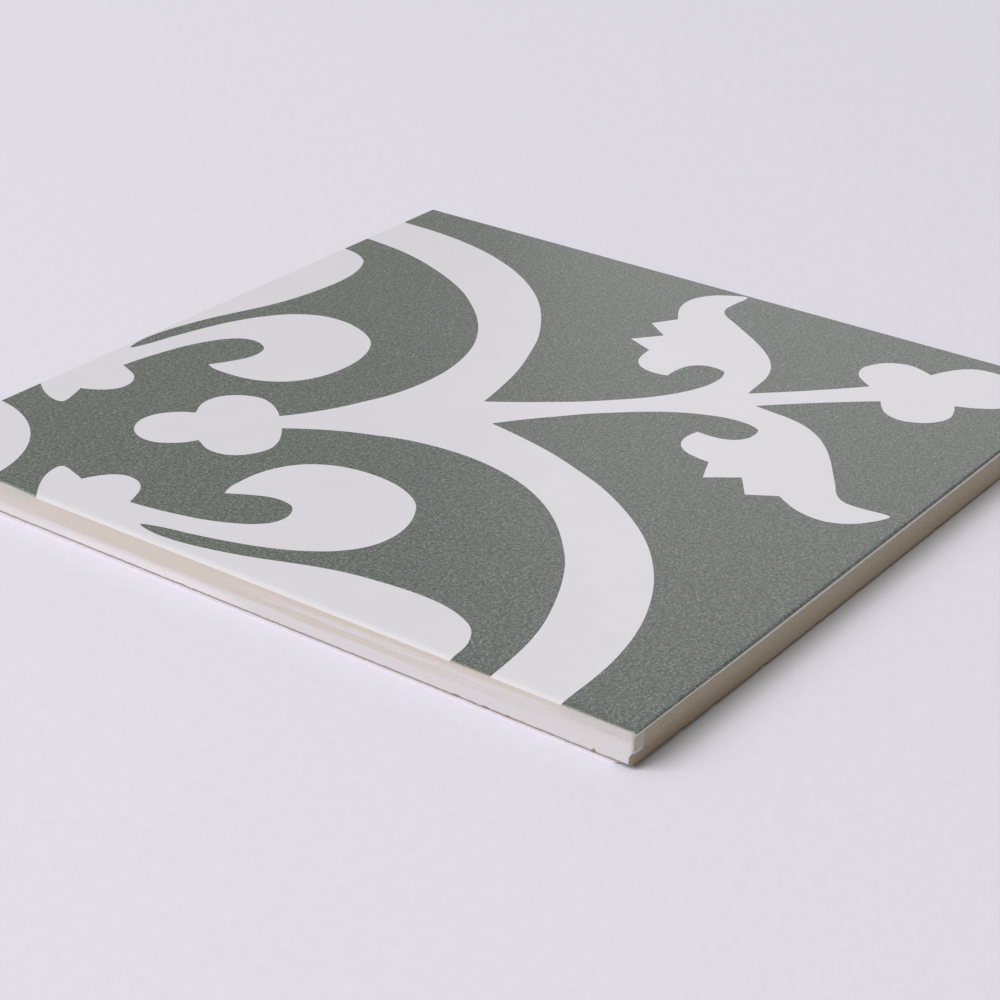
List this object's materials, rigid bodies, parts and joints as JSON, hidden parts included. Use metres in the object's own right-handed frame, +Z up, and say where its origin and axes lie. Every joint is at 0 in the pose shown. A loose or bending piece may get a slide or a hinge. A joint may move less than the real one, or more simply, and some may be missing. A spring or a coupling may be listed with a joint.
{
  "type": "encaustic-look porcelain tile",
  "caption": "Square glazed porcelain floor tile with an eased rim, bevelled keyed back and a printed scroll ornament that repeats across neighbouring tiles.",
  "frame": {"origin": "centre of the tile's bedding plane, on its back", "axes": "+Z up out of the glazed face; X and Y along the edges, with the ornament's axis on the diagonal from -X +Y to +X -Y"},
  "size_m": [0.2, 0.2, 0.0083],
  "materials": {
    "tile": "satin matt glaze"
  },
  "bodies": {
    "root": {"tile": "tile"}
  },
  "joints": []
}
